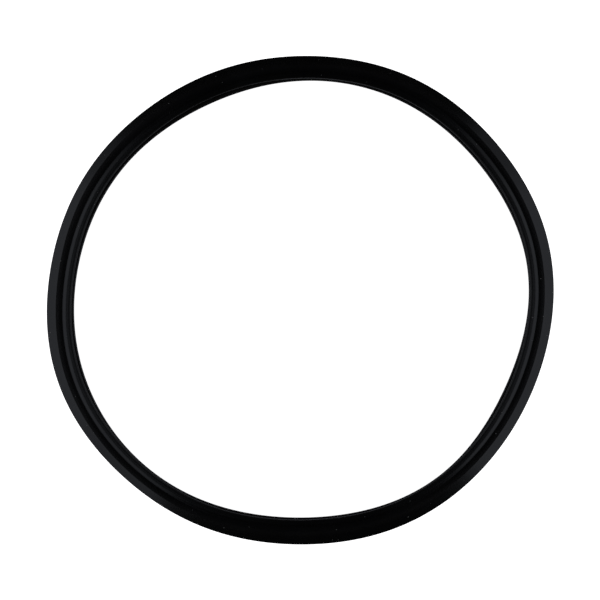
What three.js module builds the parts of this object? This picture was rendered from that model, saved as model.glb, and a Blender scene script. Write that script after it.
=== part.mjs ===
// Sealing ring (gasket) of a stovetop pressure cooker, in millimetres.
//
// One endless moulding of black rubber. Its section is a C that opens towards the ring's centre: a
// flat flange lies in the lid's channel, a solid heel stands against the lid's skirt, and a flexible
// lip reaches back over the flange and bears on the pot's rim. Steam that enters the gap between lip
// and flange presses them apart, which makes the seal.
//
// The frame has +Z up and its origin at the middle of the seat face, which lies on z = 0. The ring is
// soft, so at rest it isn't quite round, and +X runs along its longer diameter.
import * as THREE from "three";

// Overall sizes.
const OUTER_DIAMETER = 240; // over the heel, of the ring pressed true
const HEIGHT = 8.6; // seat face to the top of the lip's bead

// Flange.
const FLANGE_THICKNESS = 2;
const FLANGE_EDGE_RADIUS = 0.7;

// Heel, with a conical shoulder above the straight outer wall.
const SHOULDER_WIDTH = 4.6;
const SHOULDER_RISE = 2.8;
const SHOULDER_DROP = 0.8; // from the top of the bead down to the shoulder's crest
const HEEL_EDGE_RADIUS = 0.8;
const ARRIS_RADIUS = 0.6;
const CREST_RADIUS = 0.4;

// Level channel between the shoulder and the lip, where the lip bends.
const CHANNEL_WIDTH = 3.45;
const LIP_ROOT = 2.3; // rubber left under the channel

// Lip. Its flank climbs out of the channel in a cove and rolls over into the level sealing land. A low
// bead runs along the lip's edge.
const COVE_RADIUS = 1.3;
const FLANK_SLOPE = THREE.MathUtils.degToRad(36);
const FLANK_WIDTH = 1.5;
const LAND_WIDTH = 1.65;
const BEAD_WIDTH = 0.5;
const BEAD_PROUD = 0.05; // above the land
const BEAD_RADIUS = 0.2;
const LIP_TIP_THICKNESS = 2.8;
const TIP_RADIUS = 0.5;
const LIP_SETBACK = 0.33; // the lip's edge stands this far behind the flange's

// Gap between lip and flange.
const GAP_DEPTH = 6; // from the lip's edge to the end of the gap

// Slack shape. Each row is a wave around the ring: how many, how far it moves the rubber, and the
// azimuth in degrees of one of its crests.
const OUTLINE_WAVES = [
  { count: 2, size: 2.25, crest: 0 },
  { count: 3, size: 0.44, crest: 50 },
  { count: 4, size: 0.38, crest: 9 },
  { count: 5, size: 0.21, crest: 350 },
  { count: 6, size: 0.26, crest: 357 },
  { count: 7, size: 0.13, crest: 37 },
  { count: 8, size: 0.17, crest: 5 },
];
// The same for how far inward four lines of the section wander from their true inset: the shoulder's
// crest, the flank's foot, the lip's edge and the flange's edge.
const CREST_WAVES = [
  { count: 1, size: 0.23, crest: 324 },
  { count: 2, size: 0.18, crest: 88 },
  { count: 3, size: 0.21, crest: 41 },
  { count: 4, size: 0.33, crest: 87 },
];
const FOOT_WAVES = [
  { count: 1, size: 0.16, crest: 262 },
  { count: 2, size: 0.18, crest: 113 },
  { count: 3, size: 0.25, crest: 26 },
  { count: 4, size: 0.31, crest: 86 },
  { count: 5, size: 0.13, crest: 38 },
];
const LIP_WAVES = [
  { count: 1, size: 0.12, crest: 284 },
  { count: 2, size: 0.17, crest: 149 },
  { count: 3, size: 0.31, crest: 29 },
  { count: 4, size: 0.25, crest: 85 },
  { count: 5, size: 0.21, crest: 37 },
];
const FLANGE_WAVES = [
  { count: 1, size: 0.35, crest: 106 },
  { count: 2, size: 0.26, crest: 131 },
  { count: 3, size: 0.36, crest: 24 },
  { count: 4, size: 0.25, crest: 86 },
  { count: 5, size: 0.49, crest: 35 },
  { count: 6, size: 0.08, crest: 23 },
  { count: 8, size: 0.2, crest: 8 },
];

// Fineness of the mesh.
const STEPS_AROUND = 90;
const ARC_STEP = THREE.MathUtils.degToRad(34);

// Heights and insets that follow from the sizes above.
const landHeight = HEIGHT - BEAD_PROUD;
const crestHeight = HEIGHT - SHOULDER_DROP;
const wallHeight = crestHeight - SHOULDER_RISE;
const gapRoof = crestHeight - LIP_ROOT;
const gapRadius = (gapRoof - FLANGE_THICKNESS) / 2;
const tipBottom = HEIGHT - LIP_TIP_THICKNESS;
const channelEnd = SHOULDER_WIDTH + CHANNEL_WIDTH;
const flankCorner = channelEnd + (landHeight - crestHeight) / Math.tan(FLANK_SLOPE);
const flankEnd = channelEnd + FLANK_WIDTH;
const flankRadius = (flankEnd - flankCorner) / Math.tan(FLANK_SLOPE / 2);
const landEnd = flankEnd + LAND_WIDTH;
const lipEdge = landEnd + BEAD_WIDTH;
const flangeEdge = lipEdge + LIP_SETBACK;
const gapEnd = lipEdge - GAP_DEPTH;

// The section's corners, anticlockwise from the heel's foot with the outer wall on the right: each
// one's inset from the outer wall, its height, and the radius that rounds it.
const CORNERS = [
  [0, 0, HEEL_EDGE_RADIUS],
  [0, wallHeight, ARRIS_RADIUS],
  [SHOULDER_WIDTH, crestHeight, CREST_RADIUS],
  [channelEnd, crestHeight, COVE_RADIUS],
  [flankCorner, landHeight, flankRadius],
  [flankEnd, landHeight, 0],
  [landEnd, landHeight, 0],
  [landEnd + BEAD_WIDTH / 2, HEIGHT, 0],
  [lipEdge, HEIGHT, BEAD_RADIUS],
  [lipEdge, tipBottom, TIP_RADIUS],
  [gapEnd + gapRadius, gapRoof, 0],
  [gapEnd, gapRoof, gapRadius],
  [gapEnd, FLANGE_THICKNESS, gapRadius],
  [flangeEdge, FLANGE_THICKNESS, FLANGE_EDGE_RADIUS],
  [flangeEdge, 0, FLANGE_EDGE_RADIUS],
];

// Points of the arc of the given radius that touches both sides of a corner.
function roundedCorner(before, corner, after, radius) {
  const toBefore = before.clone().sub(corner).normalize();
  const toAfter = after.clone().sub(corner).normalize();
  const halfAngle = Math.acos(toBefore.dot(toAfter)) / 2;
  const middle = toBefore.clone().add(toAfter).normalize();
  const centre = middle.multiplyScalar(radius / Math.sin(halfAngle)).add(corner);
  const start = toBefore.multiplyScalar(radius / Math.tan(halfAngle)).add(corner);
  const turn = Math.PI - 2 * halfAngle;
  const leftward = corner.clone().sub(before).cross(toAfter) > 0;
  const steps = Math.max(2, Math.ceil(turn / ARC_STEP));
  const step = (leftward ? turn : -turn) / steps;
  return Array.from({ length: steps + 1 }, (_, i) => start.clone().rotateAround(centre, step * i));
}

// The closed outline of the section as points of radius and height.
function sectionOutline() {
  const at = CORNERS.map(([inset, height]) => new THREE.Vector2(OUTER_DIAMETER / 2 - inset, height));
  const points = CORNERS.flatMap(([, , radius], i) => {
    const before = at.at(i - 1);
    const after = at[(i + 1) % at.length];
    return radius > 0 ? roundedCorner(before, at[i], after, radius) : [at[i]];
  });
  const distinct = points.filter((point, i) => point.distanceTo(points.at(i - 1)) > 1e-6);
  return [...distinct, distinct[0].clone()];
}

// Sum of the waves at an azimuth.
function waveSum(waves, azimuth) {
  const term = ({ count, size, crest }) => {
    return size * Math.cos(count * (azimuth - THREE.MathUtils.degToRad(crest)));
  };
  return waves.reduce((sum, wave) => sum + term(wave), 0);
}

// How far inward a point of the slack ring lies from its true place. On top it follows the wandering
// lines, in proportion between each line and the next and from nothing at the outer wall. On the
// flange it grows in proportion to the flange's edge. In the gap it goes smoothly from one to the other.
function wander(inset, height, azimuth) {
  const lines = [
    [0, []],
    [SHOULDER_WIDTH, CREST_WAVES],
    [channelEnd, FOOT_WAVES],
    [lipEdge, LIP_WAVES],
  ];
  const next = Math.max(1, lines.findIndex(([at], i) => inset <= at || i === lines.length - 1));
  const [from, fromWaves] = lines[next - 1];
  const [to, toWaves] = lines[next];
  const along = THREE.MathUtils.clamp((inset - from) / (to - from), 0, 1);
  const onTop = THREE.MathUtils.lerp(waveSum(fromWaves, azimuth), waveSum(toWaves, azimuth), along);
  const onFlange = (inset / flangeEdge) * waveSum(FLANGE_WAVES, azimuth);
  const up = THREE.MathUtils.smoothstep(height, FLANGE_THICKNESS, gapRoof);
  return THREE.MathUtils.lerp(onFlange, onTop, up);
}

// Lets a true ring go slack. Every point moves only in or out, so level faces stay level.
function slacken(geometry) {
  const position = geometry.attributes.position;
  const trueRadius = OUTER_DIAMETER / 2;
  for (let i = 0; i < position.count; i++) {
    const azimuth = Math.atan2(position.getY(i), position.getX(i));
    const inset = trueRadius - Math.hypot(position.getX(i), position.getY(i));
    const outer = trueRadius + waveSum(OUTLINE_WAVES, azimuth);
    const radius = outer - inset - wander(inset, position.getZ(i), azimuth);
    position.setXY(i, radius * Math.cos(azimuth), radius * Math.sin(azimuth));
  }
  return geometry;
}

// Moves the geometry so that the middle of its box is over the origin.
function centreOverOrigin(geometry) {
  geometry.computeBoundingBox();
  const middle = geometry.boundingBox.getCenter(new THREE.Vector3());
  return geometry.translate(-middle.x, -middle.y, 0);
}

function makeSealingRing() {
  const trueRing = new THREE.LatheGeometry(sectionOutline(), STEPS_AROUND).rotateX(Math.PI / 2);
  const geometry = centreOverOrigin(slacken(trueRing));
  geometry.computeVertexNormals();
  const rubber = new THREE.MeshStandardMaterial({ color: 0x17181a, roughness: 0.45, metalness: 0 });
  const mesh = new THREE.Mesh(geometry, rubber);
  mesh.name = "sealing_ring";
  return mesh;
}

const gasket = new THREE.Group();
gasket.add(makeSealingRing());

export default gasket;
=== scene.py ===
"""Sealing ring of a stovetop pressure cooker: one endless moulding of black rubber, lying slack on a
white table between tall softboxes. Metres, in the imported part's frame: the seat face is on z = 0 and
+X runs along the slack ring's longer diameter."""
import math

import bpy
import numpy as np
from mathutils import Matrix, Vector


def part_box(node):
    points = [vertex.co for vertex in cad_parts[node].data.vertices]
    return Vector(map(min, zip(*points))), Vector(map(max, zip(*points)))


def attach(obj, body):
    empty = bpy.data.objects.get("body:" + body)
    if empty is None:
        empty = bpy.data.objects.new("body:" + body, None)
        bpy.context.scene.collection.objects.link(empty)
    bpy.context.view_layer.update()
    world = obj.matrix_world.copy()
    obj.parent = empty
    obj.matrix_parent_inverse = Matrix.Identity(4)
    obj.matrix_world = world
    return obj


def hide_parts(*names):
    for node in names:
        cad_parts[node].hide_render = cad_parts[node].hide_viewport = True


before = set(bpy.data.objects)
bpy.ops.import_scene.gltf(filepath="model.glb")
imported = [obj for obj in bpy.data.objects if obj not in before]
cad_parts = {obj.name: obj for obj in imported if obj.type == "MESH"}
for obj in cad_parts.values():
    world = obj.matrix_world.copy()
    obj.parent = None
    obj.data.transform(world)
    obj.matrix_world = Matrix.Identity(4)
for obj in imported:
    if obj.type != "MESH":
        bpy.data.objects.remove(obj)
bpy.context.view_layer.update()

MM = 0.001

# ---------------------------------------------------------------- the ring's sizes, in millimetres

RING_LOW, RING_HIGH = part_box("sealing_ring")
HEIGHT = (RING_HIGH.z - RING_LOW.z) / MM
OUTER_RADIUS = 120.0  # of the ring pressed true

# Flange.
FLANGE_THICKNESS = 2.0
FLANGE_TOP_RADIUS = 0.55
FLANGE_FOOT_RADIUS = 0.5

# Heel, with a fine parting line around its outer wall.
HEEL_RADIUS = 0.8
PARTING_HEIGHT = 2.4
PARTING_HALF_WIDTH = 0.3
PARTING_PROUD = 0.07
PARTING_FOOT_RADIUS = 0.1
PARTING_TIP_RADIUS = 0.08
ARRIS_RADIUS = 0.35

# Conical shoulder that climbs from the arris to its crest, and the slightly crowned channel beyond.
SHOULDER_WIDTH = 4.6
SHOULDER_RISE = 2.8
SHOULDER_DROP = 0.8  # from the top of the bead down to the crest
CREST_RADIUS = 0.4
CHANNEL_WIDTH = 3.45
CHANNEL_CROWN = 0.06
CHANNEL_CROWN_RADIUS = 20.0

# Lip: its flank climbs out of the channel in a cove, its land rises a little towards the edge, and a
# low rounded bead runs along the edge.
LIP_ROOT = 2.3  # rubber left under the channel
COVE_RADIUS = 1.3
FLANK_WIDTH = 1.5
FLANK_SLOPE = math.radians(36)
LAND_WIDTH = 1.65
LAND_FALL = 0.17  # from the top of the bead down to the land's start
LAND_START_RADIUS = 0.05
LAND_CROWN = 0.012
LAND_CROWN_RADIUS = 7.0
BEAD_WIDTH = 0.5
BEAD_PROUD = 0.05  # above the land's end
BEAD_FOOT_RADIUS = 0.2
BEAD_TOP_RADIUS = 0.25
BEAD_EDGE_RADIUS = 0.18
LIP_TIP_THICKNESS = 2.8
TIP_RADIUS = 0.5
LIP_SETBACK = 0.33  # the lip's edge stands this far behind the flange's

# Gap between lip and flange.
GAP_DEPTH = 6.0  # from the lip's edge to the gap's round blind end
GAP_ROOF_RADIUS = 0.8  # where the lip's underside meets the roof of the gap

# Shares of the largest radius that fits a corner, which keep neighbouring arcs apart.
GAP_END_SHARE = 0.98
FLANK_TOP_SHARE = 0.96

# Heights and insets that follow.
CREST = HEIGHT - SHOULDER_DROP
GAP_ROOF = CREST - LIP_ROOT
CHANNEL_END = SHOULDER_WIDTH + CHANNEL_WIDTH
FLANK_END = CHANNEL_END + FLANK_WIDTH
LAND_END = FLANK_END + LAND_WIDTH
LIP_EDGE = LAND_END + BEAD_WIDTH
FLANGE_EDGE = LIP_EDGE + LIP_SETBACK

# Waves around the ring: how many, how far each moves the rubber, and the azimuth of one crest.
OUTLINE_WAVES = ((2, 2.25, 0), (3, 0.44, 50), (4, 0.38, 9), (5, 0.21, 350), (6, 0.26, 357),
                 (7, 0.13, 37), (8, 0.17, 5))
# The same for how far inward four lines of the section wander from their true inset: the shoulder's
# crest, the flank's foot, the lip's edge and the flange's edge.
CREST_WAVES = ((1, 0.23, 324), (2, 0.18, 88), (3, 0.21, 41), (4, 0.33, 87))
FOOT_WAVES = ((1, 0.16, 262), (2, 0.18, 113), (3, 0.25, 26), (4, 0.31, 86), (5, 0.13, 38))
LIP_WAVES = ((1, 0.12, 284), (2, 0.17, 149), (3, 0.31, 29), (4, 0.25, 85), (5, 0.21, 37))
FLANGE_WAVES = ((1, 0.35, 106), (2, 0.26, 131), (3, 0.36, 24), (4, 0.25, 86), (5, 0.49, 35),
                (6, 0.08, 23), (8, 0.2, 8))

# Painted light, as pale places: how pale each is painted, where it lies and how far it reaches.
# The crest and the lip's edge get painted highlights, and the flange's free end gets painted light
# that lifts the shade under the lip.
# Painted highlight along the shoulder's crest and the channel's edge just inside it.
CREST_PAINTED_HIGHLIGHT = 0.15
CREST_HIGHLIGHT_MIDDLE = SHOULDER_WIDTH + 0.4
CREST_HIGHLIGHT_REACH = 1.1
# Painted highlight along the lip's edge, on top of the bead.
BEAD_PAINTED_HIGHLIGHT = 0.6
BEAD_HIGHLIGHT_REACH = 0.35
# Painted light on the flange's free end, which lifts the shade under the lip.
FLANGE_PAINTED_LIGHT = 0.65
FLANGE_LIGHT_START = LIP_EDGE - 2.0
FLANGE_LIGHT_RISE = 1.5
TOP_SIDE = GAP_ROOF + 1.0  # the top's pale places lie above this height
FLANGE_SIDE = FLANGE_THICKNESS + 0.1  # and the flange's below this one

# Fineness of the surface. A straight run of the section has a point SUPPORT away from each of its
# ends, and others no further apart than LONGEST_SPAN.
STEPS_AROUND = 600
ARC_STEP = math.radians(14)
LONGEST_SPAN = 1.5
SUPPORT = 0.05

# ---------------------------------------------------------------- shape


def section_corners():
    """The section's corners, anticlockwise from the blind end of the gap with the outer wall on the
    right. Each is its inset from the outer wall, its height and the radius that rounds it."""
    arris = CREST - SHOULDER_RISE
    gap_radius = (GAP_ROOF - FLANGE_THICKNESS) / 2
    gap_end = LIP_EDGE - GAP_DEPTH
    gap_end_radius = gap_radius * GAP_END_SHARE
    flank_top = HEIGHT - LAND_FALL
    land_end = HEIGHT - BEAD_PROUD
    flank_corner = CHANNEL_END + (flank_top - CREST) / math.tan(FLANK_SLOPE)
    flank_radius = (FLANK_END - flank_corner) / math.tan(FLANK_SLOPE / 2)
    return (
        (gap_end, FLANGE_THICKNESS, gap_end_radius),
        (FLANGE_EDGE, FLANGE_THICKNESS, FLANGE_TOP_RADIUS),
        (FLANGE_EDGE, 0.0, FLANGE_FOOT_RADIUS),
        (0.0, 0.0, HEEL_RADIUS),
        (0.0, PARTING_HEIGHT - PARTING_HALF_WIDTH, PARTING_FOOT_RADIUS),
        (-PARTING_PROUD, PARTING_HEIGHT, PARTING_TIP_RADIUS),
        (0.0, PARTING_HEIGHT + PARTING_HALF_WIDTH, PARTING_FOOT_RADIUS),
        (0.0, arris, ARRIS_RADIUS),
        (SHOULDER_WIDTH, CREST, CREST_RADIUS),
        (SHOULDER_WIDTH + CHANNEL_WIDTH / 2, CREST + CHANNEL_CROWN, CHANNEL_CROWN_RADIUS),
        (CHANNEL_END, CREST, COVE_RADIUS),
        (flank_corner, flank_top, flank_radius * FLANK_TOP_SHARE),
        (FLANK_END, flank_top, LAND_START_RADIUS),
        ((FLANK_END + LAND_END) / 2, (flank_top + land_end) / 2 + LAND_CROWN, LAND_CROWN_RADIUS),
        (LAND_END, land_end, BEAD_FOOT_RADIUS),
        (LAND_END + BEAD_WIDTH / 2, HEIGHT, BEAD_TOP_RADIUS),
        (LIP_EDGE, HEIGHT, BEAD_EDGE_RADIUS),
        (LIP_EDGE, HEIGHT - LIP_TIP_THICKNESS, TIP_RADIUS),
        (gap_end + gap_radius, GAP_ROOF, GAP_ROOF_RADIUS),
        (gap_end, GAP_ROOF, gap_end_radius),
    )


def unit(vector):
    """The vector divided by its length."""
    return vector / np.linalg.norm(vector)


def rounded_corner(before, corner, after, radius):
    """Arc of the given radius that touches both sides of a corner, as an array of points: its start
    turned about its centre in equal steps."""
    to_before = unit(before - corner)
    to_after = unit(after - corner)
    half = math.acos(float(to_before @ to_after)) / 2
    centre = corner + unit(to_before + to_after) * radius / math.sin(half)
    spoke = corner + to_before * radius / math.tan(half) - centre
    turn = math.pi - 2 * half
    side = np.sign(to_before[1] * to_after[0] - to_before[0] * to_after[1])
    steps = max(3, math.ceil(turn / ARC_STEP))
    angle = np.linspace(0.0, turn * side, steps + 1)
    x = spoke[0] * np.cos(angle) - spoke[1] * np.sin(angle)
    y = spoke[0] * np.sin(angle) + spoke[1] * np.cos(angle)
    return centre + np.column_stack((x, y))


def straight(start, end):
    """Points between two arcs, ends left out: one close to each end, which keeps the shading of the
    flat from bending, and the rest evenly spaced."""
    length = np.linalg.norm(end - start)
    if length < 3 * SUPPORT:
        return np.empty((0, 2))
    even = np.linspace(0.0, 1.0, math.ceil(length / LONGEST_SPAN) + 1)[1:-1]
    share = np.concatenate(([SUPPORT / length], even, [1 - SUPPORT / length]))
    return start + share[:, None] * (end - start)


def section_outline():
    """The section as a closed run of points of outward offset and height, in millimetres."""
    corners = np.array(section_corners())
    at = corners[:, :2] * (-1, 1)
    arcs = [
        rounded_corner(at[i - 1], at[i], at[(i + 1) % len(at)], corners[i, 2])
        for i in range(len(at))
    ]
    spans = [straight(arc[-1], arcs[(i + 1) % len(arcs)][0]) for i, arc in enumerate(arcs)]
    return np.concatenate([run for pair in zip(arcs, spans) for run in pair])


def wave_sum(waves, azimuth):
    """Sum over the waves of size times the cosine of count times the angle from the crest."""
    return sum(size * np.cos(count * (azimuth - math.radians(crest))) for count, size, crest in waves)


def wander(inset, height, azimuth):
    """How far inward the slack rubber lies from its true place. Along the top it goes in proportion
    from nothing at the wall to the crest's waves, on to the foot's and on to the lip's; along the
    flange it grows to the flange's waves; and between flange and lip it goes smoothly from one to the
    other."""
    lines = (0, SHOULDER_WIDTH, CHANNEL_END, LIP_EDGE)
    to_crest = np.interp(inset, lines, (0, 1, 0, 0))
    to_foot = np.interp(inset, lines, (0, 0, 1, 0))
    to_lip = np.interp(inset, lines, (0, 0, 0, 1))
    above = to_crest * wave_sum(CREST_WAVES, azimuth) + to_foot * wave_sum(FOOT_WAVES, azimuth)
    above = above + to_lip * wave_sum(LIP_WAVES, azimuth)
    below = inset / FLANGE_EDGE * wave_sum(FLANGE_WAVES, azimuth)
    share = np.clip((height - FLANGE_THICKNESS) / (GAP_ROOF - FLANGE_THICKNESS), 0, 1)
    share = share * share * (3 - 2 * share)
    return below + share * (above - below)


def bell(x, middle, reach):
    """Bell curve: 1 at the middle, and e to the minus square of the way from it in reaches."""
    return np.exp(-(((x - middle) / reach) ** 2))


def painted_light_share(inset, height):
    """How much painted light a point of the section gets, from 0 to 1: bell curves across the
    shoulder's crest and the lip's edge, which are painted highlights, and a rise along the flange's
    free end, which is painted light that lifts the shade under the lip."""
    on_crest = CREST_PAINTED_HIGHLIGHT * bell(inset, CREST_HIGHLIGHT_MIDDLE, CREST_HIGHLIGHT_REACH)
    on_bead = BEAD_PAINTED_HIGHLIGHT * bell(inset, LIP_EDGE, BEAD_HIGHLIGHT_REACH)
    rise = np.clip((inset - FLANGE_LIGHT_START) / FLANGE_LIGHT_RISE, 0, 1)
    on_flange = FLANGE_PAINTED_LIGHT * rise * (height > FLANGE_FOOT_RADIUS)
    lower = np.where(height < FLANGE_SIDE, on_flange, 0.0)
    return np.where(height > TOP_SIDE, on_crest + on_bead, lower)


def ring_surface():
    """The section carried round the slack outline, as an array of points, steps around by points of
    the section. Radius is the outer radius plus the outline's waves, less the inset and its wander.
    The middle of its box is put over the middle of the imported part's."""
    azimuth = np.linspace(0.0, 2 * math.pi, STEPS_AROUND, endpoint=False)[:, None]
    offset, height = section_outline().T[:, None, :]
    inset = -offset + wander(-offset, height, azimuth)
    radius = OUTER_RADIUS + wave_sum(OUTLINE_WAVES, azimuth) - inset
    level = np.broadcast_to(height, radius.shape)
    points = np.stack((radius * np.cos(azimuth), radius * np.sin(azimuth), level), axis=-1) * MM
    middle = (points.min(axis=(0, 1)) + points.max(axis=(0, 1))) / 2
    wanted = np.array((RING_LOW + RING_HIGH) / 2)
    points[..., :2] += (wanted - middle)[:2]
    return points


def closed_grid_mesh(name, points, pale):
    """Mesh of a grid of points that closes both ways. Each quad runs around first and then across, so
    that it faces out. The UV map holds the share of the way around and across, and the attribute
    "pale" the share of painted light at each point of the section."""
    around, across = points.shape[:2]
    i, j = np.meshgrid(np.arange(around), np.arange(across), indexing="ij")
    corner_i = np.stack((i, i + 1, i + 1, i), axis=-1)
    corner_j = np.stack((j, j, j + 1, j + 1), axis=-1)
    faces = (corner_i % around) * across + corner_j % across
    mesh = bpy.data.meshes.new(name)
    mesh.from_pydata(points.reshape(-1, 3).tolist(), [], faces.reshape(-1, 4).tolist())
    step = np.linalg.norm(np.roll(points, -1, axis=1) - points, axis=-1).mean(axis=0)
    way_across = np.concatenate(([0.0], np.cumsum(step))) / step.sum()
    uv = np.stack((corner_i / around, way_across[corner_j]), axis=-1)
    mesh.uv_layers.new(name="around_and_across").data.foreach_set("uv", uv.ravel())
    mesh.attributes.new("pale", "FLOAT", "POINT").data.foreach_set("value", np.tile(pale, around))
    mesh.polygons.foreach_set("use_smooth", np.ones(around * across, dtype=bool))
    mesh.update()
    return mesh


# ---------------------------------------------------------------- materials


class Value:
    """A number in a material: an output socket whose arithmetic adds Math nodes."""

    def __init__(self, finish, socket):
        self.finish = finish
        self.socket = socket

    def math(self, operation, *numbers):
        """Math node on the given values and numbers."""
        node = self.finish.node("ShaderNodeMath", {"operation": operation}, dict(enumerate(numbers)))
        return Value(self.finish, node.outputs[0])

    def __add__(self, other):
        return self.math("ADD", self, other)

    __radd__ = __add__

    def __sub__(self, other):
        return self.math("SUBTRACT", self, other)

    def __rsub__(self, other):
        return self.math("SUBTRACT", other, self)

    def __mul__(self, other):
        return self.math("MULTIPLY", self, other)

    __rmul__ = __mul__

    def cosine(self):
        return self.math("COSINE", self)

    def sine(self):
        return self.math("SINE", self)


class Finish:
    """A material in the making."""

    def __init__(self, name):
        self.material = bpy.data.materials.new(name)
        self.material.use_nodes = True
        self.tree = self.material.node_tree
        self.shader = self.tree.nodes["Principled BSDF"]

    def node(self, kind, settings=None, inputs=None):
        """Adds a node. Settings are set first, then each socket takes a value or a link."""
        node = self.tree.nodes.new(kind)
        for name, setting in (settings or {}).items():
            setattr(node, name, setting)
        self.feed(node, inputs or {})
        return node

    def feed(self, node, inputs):
        """Links each value to its socket, and sets anything else on its socket."""
        for name, given in inputs.items():
            if isinstance(given, Value):
                self.tree.links.new(given.socket, node.inputs[name])
            else:
                node.inputs[name].default_value = given

    def output(self, node, name=0):
        """One of the node's outputs, as a value."""
        return Value(self, node.outputs[name])

    def noise(self, vector, scale, detail=2.0, roughness=0.5):
        """Fractal noise from 0 to 1."""
        sockets = {"Vector": vector, "Scale": scale, "Detail": detail, "Roughness": roughness}
        return self.output(self.node("ShaderNodeTexNoise", None, sockets), "Fac")

    def step(self, value, low, high):
        """Smooth step from 0 at low to 1 at high."""
        sockets = {"Value": value, "From Min": low, "From Max": high}
        settings = {"interpolation_type": "SMOOTHSTEP"}
        return self.output(self.node("ShaderNodeMapRange", settings, sockets), "Result")

    def blend(self, share, first, second):
        """Colour that goes from the first to the second as the share goes from 0 to 1."""
        sockets = {"Factor": share, 6: first, 7: second}
        node = self.node("ShaderNodeMix", {"data_type": "RGBA"}, sockets)
        return self.output(node, 2)


# Linear colours.
RUBBER_BLACK = (0.0012, 0.0012, 0.0014, 1)
BLOOM_GREY = (0.02, 0.02, 0.021, 1)
# The grey of the painted highlights on crest and bead and of the painted light on the flange.
PAINTED_LIGHT_GREY = (0.028, 0.0255, 0.0235, 1)
DUST_GREY = (0.24, 0.235, 0.22, 1)


def black_rubber():
    """Moulded black rubber: satin, with streaks that run around the ring as the mould was turned, a
    fine grain, a cloudy bloom, painted highlights along the crest and the bead, painted light on the
    shaded flange, and a few specks of dust."""
    finish = Finish("black_rubber")
    position = finish.output(finish.node("ShaderNodeTexCoord"), "Object")
    uv = finish.node("ShaderNodeUVMap", {"uv_map": "around_and_across"})
    apart = finish.node("ShaderNodeSeparateXYZ", None, {"Vector": finish.output(uv)})
    turn = finish.output(apart, "X") * (2 * math.pi)
    across = finish.output(apart, "Y")

    def around(reach, lines):
        """Vector that closes on itself around the ring, so that patterns in it are long and thin:
        cosine and sine of the turn times the reach, and the way across times the lines."""
        sockets = {"X": turn.cosine() * reach, "Y": turn.sine() * reach, "Z": across * lines}
        return finish.output(finish.node("ShaderNodeCombineXYZ", None, sockets))

    streaks = finish.noise(around(reach=2.5, lines=90.0), scale=1.0, detail=3.0, roughness=0.6)
    fine_lines = finish.noise(around(reach=1.2, lines=320.0), scale=1.0, detail=1.0)
    clouds = finish.noise(position, scale=45.0, detail=3.0)
    grain = finish.noise(position, scale=2600.0, detail=2.0)

    # Dust: space is cut into cells about 2.5 mm wide, and about three in ten hold a speck. Its radius
    # is a share of the cell's width, which comes to between 0.12 and 0.28 mm.
    dust_cells = {"Vector": position, "Scale": 1 / (2.5 * MM)}
    cells = finish.node("ShaderNodeTexVoronoi", None, dust_cells)
    lot = finish.node("ShaderNodeSeparateColor", None, {"Color": finish.output(cells, "Color")})
    chosen = finish.step(finish.output(lot, "Red"), low=0.7, high=0.72)
    size = 0.05 + 0.06 * finish.output(lot, "Green")
    near = finish.step(size - finish.output(cells, "Distance"), low=0.0, high=0.015)
    dust = chosen * near

    bloom = 0.12 * finish.step(clouds + 0.3 * streaks, low=0.55, high=0.95)
    # Painted light: the attribute "pale" blends towards a paler grey as painted highlights on crest
    # and bead and as painted light on the shaded flange.
    pale = finish.output(finish.node("ShaderNodeAttribute", {"attribute_name": "pale"}), "Fac")
    colour = finish.blend(bloom, RUBBER_BLACK, BLOOM_GREY)
    colour = finish.blend(pale * (0.7 + 0.6 * clouds), colour, PAINTED_LIGHT_GREY)
    colour = finish.blend(dust * 0.8, colour, DUST_GREY)
    roughness = 0.2 + 0.05 * streaks + 0.05 * clouds + 0.25 * dust
    relief = 0.5 * streaks + 0.25 * fine_lines + 0.25 * grain + dust
    bumps = {"Strength": 0.12, "Distance": 0.02 * MM, "Height": relief}
    sockets = {
        "Base Color": colour,
        "Roughness": roughness,
        "Normal": finish.output(finish.node("ShaderNodeBump", None, bumps)),
        "IOR": 1.5,
    }
    finish.feed(finish.shader, sockets)
    return finish.material


# The table's glow, and how far from the origin it starts and is full.
TABLE_GREY = (0.5, 0.5, 0.5, 1)
TABLE_GLOW = 0.35
GLOW_STARTS = 0.11
GLOW_IS_FULL = 0.118


def white_table():
    """Matt white, lit from below as an opal table is. What the eye sees of it is white all over, and
    the ring mirrors a dimmer glow from the part outside it, which sets in smoothly under the ring."""
    finish = Finish("white_table")
    position = finish.output(finish.node("ShaderNodeTexCoord"), "Object")
    reach = finish.node("ShaderNodeVectorMath", {"operation": "LENGTH"}, {0: position})
    outside = finish.step(finish.output(reach, "Value"), GLOW_STARTS, GLOW_IS_FULL)
    seen = finish.output(finish.node("ShaderNodeLightPath"), "Is Camera Ray")
    sockets = {
        "Base Color": TABLE_GREY,
        "Roughness": 0.9,
        "Specular IOR Level": 0.0,
        "Emission Color": seen + TABLE_GLOW * outside,
        "Emission Strength": 1.0,
    }
    finish.feed(finish.shader, sockets)
    return finish.material


# ---------------------------------------------------------------- pieces


def add_object(name, data):
    """Object at the origin, in the scene."""
    thing = bpy.data.objects.new(name, data)
    bpy.context.scene.collection.objects.link(thing)
    return thing


def make_ring():
    """The rubber ring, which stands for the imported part's plain one."""
    offset, height = section_outline().T
    # The section's share of painted light goes into the mesh as the attribute "pale".
    mesh = closed_grid_mesh("rubber_ring", ring_surface(), painted_light_share(-offset, height))
    mesh.materials.append(black_rubber())
    ring = add_object("rubber_ring", mesh)
    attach(ring, "root")
    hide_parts("sealing_ring")


def make_table():
    """Square table top, a hair's breadth below the seat face."""
    reach = 6.0
    gap = 0.02 * MM
    level = RING_LOW.z - gap
    corners = [(x * reach, y * reach, level) for x, y in ((-1, -1), (1, -1), (1, 1), (-1, 1))]
    mesh = bpy.data.meshes.new("table")
    mesh.from_pydata(corners, [], [(0, 1, 2, 3)])
    mesh.materials.append(white_table())
    add_object("table", mesh)


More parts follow.
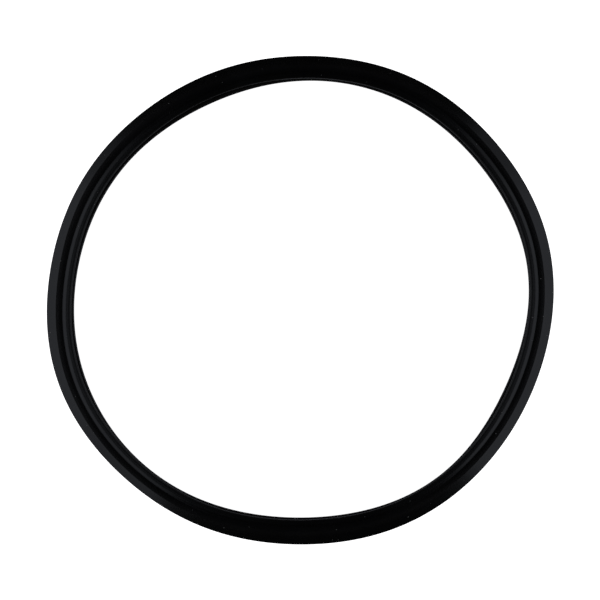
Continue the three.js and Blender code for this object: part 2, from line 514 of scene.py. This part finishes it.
# ---------------------------------------------------------------- light and camera

ROOM_LIGHT = 0.008
SOFTBOX_TINT = (0.95, 1.0, 1.12)
# Each softbox's name, the first and last azimuth that it fills, in degrees, and its brightness.
SOFTBOXES = (
    ("softbox_right", -59, 17, 0.47),
    ("softbox_right_end", 17, 32, 0.24),
    ("softbox_left", 136, 199, 0.47),
    ("softbox_left_start", 124, 136, 0.22),
    ("softbox_left_end", 199, 224, 0.35),
)


def level_direction(azimuth):
    """Level unit vector at an azimuth in degrees, from +X towards +Y: its cosine and its sine."""
    return Vector((math.cos(math.radians(azimuth)), math.sin(math.radians(azimuth)), 0))


def make_softbox(name, first, last, brightness):
    """An upright panel, evenly bright, that faces the ring and fills its horizon between two azimuths.
    Its width is twice its distance times the tangent of half the angle that it fills, and its power is
    its brightness times pi times its area."""
    distance = 0.55
    bottom = 0.03
    top = 1.25
    height = top - bottom
    middle = level_direction((first + last) / 2)
    width = 2 * distance * math.tan(math.radians(last - first) / 2)
    light = bpy.data.lights.new(name, "AREA")
    light.shape = "RECTANGLE"
    light.size = width
    light.size_y = height
    light.energy = brightness * math.pi * width * height
    light.color = SOFTBOX_TINT
    panel = add_object(name, light)
    panel.location = middle * distance + Vector((0, 0, (top + bottom) / 2))
    panel.rotation_euler = (-middle).to_track_quat("-Z", "Y").to_euler()
    panel.visible_camera = False


def make_room():
    """Dark room for the ring to reflect, seen as white beyond the table."""
    world = bpy.data.worlds.new("room")
    world.use_nodes = True
    nodes, links = world.node_tree.nodes, world.node_tree.links
    dark = nodes["Background"]
    dark.inputs["Color"].default_value = (1, 1, 1, 1)
    dark.inputs["Strength"].default_value = ROOM_LIGHT
    pale = nodes.new("ShaderNodeBackground")
    pale.inputs["Color"].default_value = (1, 1, 1, 1)
    path = nodes.new("ShaderNodeLightPath")
    mix = nodes.new("ShaderNodeMixShader")
    links.new(path.outputs["Is Camera Ray"], mix.inputs[0])
    links.new(dark.outputs[0], mix.inputs[1])
    links.new(pale.outputs[0], mix.inputs[2])
    links.new(mix.outputs[0], nodes["World Output"].inputs["Surface"])
    bpy.context.scene.world = world


def make_camera():
    """Camera straight overhead. It is turned so that the longer diameter runs across the view and
    rises a little to the right, and it aims just off the ring's middle."""
    distance = 0.77
    view_width = 0.2892
    up_azimuth = 77
    aim_azimuth = 80
    off_centre = 0.59 * MM
    data = bpy.data.cameras.new("camera")
    data.lens = data.sensor_width * distance / view_width
    data.clip_start = 0.05
    data.clip_end = 50
    back = Vector((0, 0, 1))
    up = level_direction(up_azimuth)
    aim = (RING_LOW + RING_HIGH) / 2 + level_direction(aim_azimuth) * off_centre
    camera = add_object("camera", data)
    turned = Matrix((up.cross(back), up, back)).transposed().to_4x4()
    camera.matrix_world = Matrix.Translation(aim + back * distance) @ turned
    bpy.context.scene.camera = camera


make_camera()
make_ring()
make_table()
for softbox in SOFTBOXES:
    make_softbox(*softbox)
make_room()
bpy.context.scene.view_settings.view_transform = "Standard"
